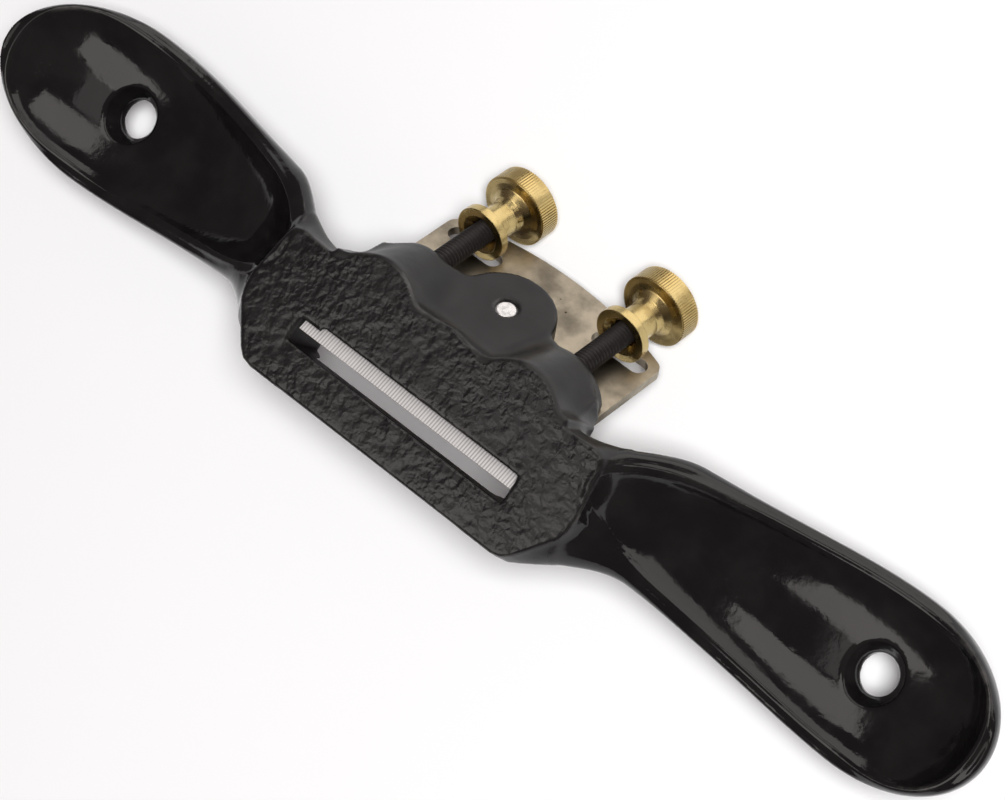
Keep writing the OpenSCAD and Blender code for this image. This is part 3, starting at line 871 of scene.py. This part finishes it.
def knurl_tree(material):
    """Adds straight ridges round a turned head whose axis is local z."""
    tree = GeometryTree("Straight knurl", {
        "Radius": 7.3, "Height": 0.3, "Bottom": 10.2, "Length": 4.0, "Ridges": 84, "Share": 0.62})
    source = tree.source
    ring = tree.node("GeometryNodeMeshCircle", Vertices=source["Ridges"], Radius=source["Radius"])
    round_it = tree.math("MULTIPLY", source["Radius"], 2 * math.pi)
    spacing = tree.math("DIVIDE", round_it, source["Ridges"])
    bar = tree.node("GeometryNodeMeshCube", Vertices_X=2, Vertices_Y=2, Vertices_Z=2)
    size = tree.node("ShaderNodeCombineXYZ", X=tree.math("MULTIPLY", source["Height"], 2.0),
                     Y=tree.math("MULTIPLY", spacing, source["Share"]), Z=source["Length"])
    tree.put(bar.inputs["Size"], size.outputs[0])
    place = tree.coordinates()
    towards = tree.math("ARCTAN2", place.outputs[1], place.outputs[0])
    turn = tree.node("ShaderNodeCombineXYZ", Z=towards)
    spin = tree.node("FunctionNodeEulerToRotation", Euler=turn.outputs[0])
    bars = tree.node("GeometryNodeInstanceOnPoints", Points=ring.outputs[0],
                     Instance=bar.outputs[0], Rotation=spin.outputs[0])
    middle = tree.math("ADD", source["Bottom"], tree.math("DIVIDE", source["Length"], 2.0))
    flat = tree.node("GeometryNodeSetShadeSmooth", Shade_Smooth=False,
                     Geometry=tree.raised(bars.outputs[0], middle))
    join = tree.node("GeometryNodeJoinGeometry")
    tree.links.new(flat.outputs[0], join.inputs[0])
    tree.links.new(source["Geometry"], join.inputs[0])
    tree.end(join.outputs[0], material)
    return tree


def threaded_rod(name, matrix, radius, rod_length, settings, material):
    """A rod with a real helix, its place in its mesh."""
    obj = new_object(name, bpy.data.meshes.new(name))
    rows = int(rod_length / settings.pitch * THREAD_ROWS) + 1
    thread_tree(material).on(obj, Radius=radius, Depth=settings.depth, Pitch=settings.pitch,
                             Length=rod_length, Chamfer=THREAD_CHAMFER, Sides=THREAD_SIDES,
                             Rows=rows)
    obj.data.transform(matrix)
    tidy_normals(obj.data)
    return obj


def knurled(name, profile, matrix, head_radius, bottom, top, ridges, settings, material):
    """A turned piece with a straight knurl round its head."""
    obj = keep_flats(new_object(name, lathe(name, rounded(profile, 0.16), Matrix.Identity(4))))
    knurl_tree(material).on(obj, Radius=head_radius - settings.ridge_height,
                            Height=settings.ridge_height, Bottom=bottom, Length=top - bottom,
                            Ridges=ridges)
    obj.data.transform(matrix)
    obj.data.materials.clear()
    obj.data.materials.append(material)
    return obj


def bevelled_copy(name, node, width):
    """A CAD node's own shape with its edges broken."""
    mesh = frame["nodes"][node].data.copy()
    mesh.materials.clear()
    work = bmesh.new()
    work.from_mesh(mesh)
    bmesh.ops.remove_doubles(work, verts=work.verts, dist=2e-6)
    bmesh.ops.dissolve_limit(work, angle_limit=math.radians(1), verts=work.verts, edges=work.edges)
    work.to_mesh(mesh)
    work.free()
    obj = new_object(name, mesh)
    bevel = obj.modifiers.new("Broken edges", "BEVEL")
    bevel.width = width * MM
    bevel.segments = 3
    bevel.limit_method = "ANGLE"
    bevel.angle_limit = math.radians(32)
    return keep_flats(obj)


# ---- Operators ----

class SHAVE_OT_casting(bpy.types.Operator):
    """Cast body with its two handles, ears and tongue, in black enamel"""
    bl_idname = "spokeshave.casting"
    bl_label = "Casting"

    def execute(self, context):
        settings = context.scene.shave_casting
        body = new_object("casting", build_casting(settings))
        body.data.materials.append(enamel_material(settings))
        finish_piece(body, "casting", "enamel", "body")
        return {"FINISHED"}


class SHAVE_OT_blade(bpy.types.Operator):
    """Blade with aged faces and a ground bevel"""
    bl_idname = "spokeshave.blade"
    bl_label = "Blade"

    def execute(self, context):
        settings = context.scene.shave_blade
        blade = bevelled_copy("blade_iron", "blade", settings.edge)
        for material in blade_materials(settings):
            blade.data.materials.append(material)
        for polygon in blade.data.polygons:
            slope = polygon.normal.dot(OUT_OF_BED)
            towards_edge = polygon.normal.dot(-UP_BED)
            polygon.material_index = int(0.7 < slope < 0.97 and towards_edge > 0.2)
        finish_piece(blade, "blade", "blade_steel", "blade")
        return {"FINISHED"}


class SHAVE_OT_studs(bpy.types.Operator):
    """The two blackened studs that carry the adjusting nuts"""
    bl_idname = "spokeshave.studs"
    bl_label = "Studs"

    def execute(self, context):
        settings = context.scene.shave_screws
        material = black_steel_material(settings)
        for side in ("left", "right"):
            node = f"{side}_stud"
            start, radius, rod_length = rod_place(node, UP_BED)
            rod = threaded_rod(f"{node}_rod", axis_matrix(start, UP_BED), radius, rod_length,
                               settings, material)
            finish_piece(rod, "casting", "black_steel", node)
        return {"FINISHED"}


class SHAVE_OT_nuts(bpy.types.Operator):
    """The two brass adjusting nuts: collar, waist and knurled head"""
    bl_idname = "spokeshave.nuts"
    bl_label = "Adjusting nuts"

    def execute(self, context):
        settings = context.scene.shave_brass
        material = brass_material(settings)
        collar, neck, head, bore, end = 5.7, 3.5, 7.5, 2.46, 14.4
        bottom = 9.8
        profile = [(bore, 2.1), (collar - 1.6, 0), (collar, 0), (collar, 1.9), (neck + 0.25, 1.95),
                   (neck, 3.1), (neck, 7.0), (neck + 0.35, 8.4), (neck + 1.5, 9.5),
                   (neck + 2.6, bottom), (head - KNURL_ROOT, bottom), (head - KNURL_ROOT, end),
                   (bore + 0.5, end), (bore, end - 0.5)]
        for side in ("left", "right"):
            joint = JOINTS[f"{side}_nut_turn"]
            place = axis_matrix(Vector(joint["pos_m"]), -Vector(joint["axis"]))
            nut = knurled(f"{side}_nut_brass", profile, place, head, bottom + 0.15, end - 0.2,
                          settings.ridges, settings, material)
            finish_piece(nut, f"{side}_nut", "brass", f"{side}_adjusting_nut")
        return {"FINISHED"}


class SHAVE_OT_lever_cap(bpy.types.Operator):
    """Lever cap behind the blade, in enamel whose mauve-grey tone is painted shade for the shadowed
    floor seen through the mouth
    """
    bl_idname = "spokeshave.lever_cap"
    bl_label = "Lever cap"

    def execute(self, context):
        cap = bevelled_copy("cap_casting", "lever_cap", 0.5)
        cap.data.materials.append(cap_material(context.scene.shave_casting))
        finish_piece(cap, "cap", "cap_enamel", "lever_cap")
        return {"FINISHED"}


class SHAVE_OT_cap_screw(bpy.types.Operator):
    """Slotted screw that holds the lever cap"""
    bl_idname = "spokeshave.cap_screw"
    bl_label = "Cap screw"

    def execute(self, context):
        screw = bevelled_copy("cap_screw_steel", "cap_screw", 0.2)
        screw.data.materials.append(bright_steel_material(context.scene.shave_screws))
        finish_piece(screw, "cap_screw", "bright_steel", "cap_screw")
        return {"FINISHED"}


class SHAVE_OT_thumb_screw(bpy.types.Operator):
    """Thumb screw: threaded rod and knurled brass knob"""
    bl_idname = "spokeshave.thumb_screw"
    bl_label = "Thumb screw"

    def execute(self, context):
        screws = context.scene.shave_screws
        brass = context.scene.shave_brass
        away = Vector(JOINTS["thumb_knob_turn"]["axis"])
        start, radius, rod_length = rod_place("thumb_screw_rod", away)
        rod = threaded_rod("thumb_rod_steel", axis_matrix(start, away), radius, rod_length, screws,
                           bpy.data.materials["blackened_steel"])
        finish_piece(rod, "thumb_rod", "black_steel", "thumb_screw_rod")
        head, neck, bore, thick = 6.5, 3.9, 2.56, 5.0
        ridges, ease, floor = 72, 0.3, 4.0
        profile = [(0.0, thick), (1.6, thick), (head - 1.0, thick),
                   (head - KNURL_ROOT, thick - ease), (head - KNURL_ROOT, ease), (head - 0.9, 0),
                   (neck, 0), (neck, -1.2), (bore, -1.2), (bore, floor), (0.0, floor)]
        place = axis_matrix(Vector(JOINTS["thumb_knob_turn"]["pos_m"]), away)
        knob = knurled("thumb_knob_brass", profile, place, head, ease, thick - ease, ridges, brass,
                       bpy.data.materials["turned_brass"])
        finish_piece(knob, "thumb_knob", "brass", "thumb_screw_knob")
        return {"FINISHED"}


def area_light(aim, distance, name, azimuth, elevation, size, power):
    """A soft box that looks at aim from an azimuth and elevation, in degrees. Sizes in metres."""
    light = bpy.data.lights.new(name, "AREA")
    light.shape = "RECTANGLE"
    light.size, light.size_y = size
    light.energy = power
    obj = bpy.data.objects.new(name, light)
    away = direction(azimuth, elevation)
    obj.location = aim + away * distance
    obj.rotation_euler = away.to_track_quat("Z", "Y").to_euler()
    bpy.context.scene.collection.objects.link(obj)
    return obj


class SHAVE_OT_stage(bpy.types.Operator):
    """Pale floor, soft boxes and the camera"""
    bl_idname = "spokeshave.stage"
    bl_label = "Stage"

    def execute(self, context):
        settings = context.scene.shave_stage
        low, high = CAD_BOX
        middle = (Vector(low) + Vector(high)) / 2
        span = 40  # half the floor's width, in metres
        floor = new_object("floor", bpy.data.meshes.new("floor"))
        corners = [(-span, -span), (span, -span), (span, span), (-span, span)]
        floor.data.from_pydata([(x, y, low[2]) for x, y in corners], [], [(0, 1, 2, 3)])
        floor.data.materials.append(floor_material(settings))

        world = bpy.data.worlds.new("studio")
        world.use_nodes = True
        background = world.node_tree.nodes["Background"]
        background.inputs["Color"].default_value = WORLD_TONE
        background.inputs["Strength"].default_value = WORLD_STRENGTH
        context.scene.world = world
        for row in SOFT_BOXES:
            box = area_light(middle, 1.3, *row)
            box.visible_diffuse = False
            box.data.color = SOFT_BOX_TINT
        area_light(middle, 1.5, *FILL_BOX).visible_glossy = False

        camera = bpy.data.cameras.new("camera")
        camera.sensor_width = 36
        camera.lens = settings.focal
        camera.clip_start = 0.01
        obj = bpy.data.objects.new("camera", camera)
        away = direction(*CAMERA_SIDE)
        turn = away.to_track_quat("Z", "Y").to_matrix().to_4x4()
        place = Matrix.Translation(middle + CAMERA_AIM + away * settings.distance * MM)
        obj.matrix_world = place @ turn @ Matrix.Rotation(math.radians(CAMERA_ROLL), 4, "Z")
        context.scene.collection.objects.link(obj)
        context.scene.camera = obj
        context.scene.view_settings.view_transform = "Standard"
        return {"FINISHED"}


OPERATORS = (SHAVE_OT_casting, SHAVE_OT_blade, SHAVE_OT_studs, SHAVE_OT_nuts,
             SHAVE_OT_lever_cap, SHAVE_OT_cap_screw, SHAVE_OT_thumb_screw, SHAVE_OT_stage)


class SHAVE_PT_panel(bpy.types.Panel):
    """Sizes, colours and the pieces in order"""
    bl_idname = "SHAVE_PT_panel"
    bl_label = "Spokeshave"
    bl_space_type = "VIEW_3D"
    bl_region_type = "UI"
    bl_category = "Spokeshave"

    def draw(self, context):
        for name in GROUPS:
            box = self.layout.box()
            box.label(text=name.replace("shave_", "").capitalize())
            group = getattr(context.scene, name)
            for prop in group.bl_rna.properties:
                if prop.identifier not in ("rna_type", "name"):
                    box.prop(group, prop.identifier)
        for operator in OPERATORS:
            self.layout.operator(operator.bl_idname)


GROUPS = {"shave_casting": CastingSettings, "shave_blade": BladeSettings,
          "shave_screws": ScrewSettings, "shave_brass": BrassSettings,
          "shave_stage": StageSettings}
CLASSES = (*GROUPS.values(), *OPERATORS, SHAVE_PT_panel)


def register():
    for cls in CLASSES:
        bpy.utils.register_class(cls)
    for name, group in GROUPS.items():
        setattr(bpy.types.Scene, name, bpy.props.PointerProperty(type=group))


def unregister():
    for name in GROUPS:
        delattr(bpy.types.Scene, name)
    for cls in reversed(CLASSES):
        bpy.utils.unregister_class(cls)


def main():
    register()
    for operator in OPERATORS:
        group, name = operator.bl_idname.split(".")
        getattr(getattr(bpy.ops, group), name)()


if __name__ == "__main__":
    main()
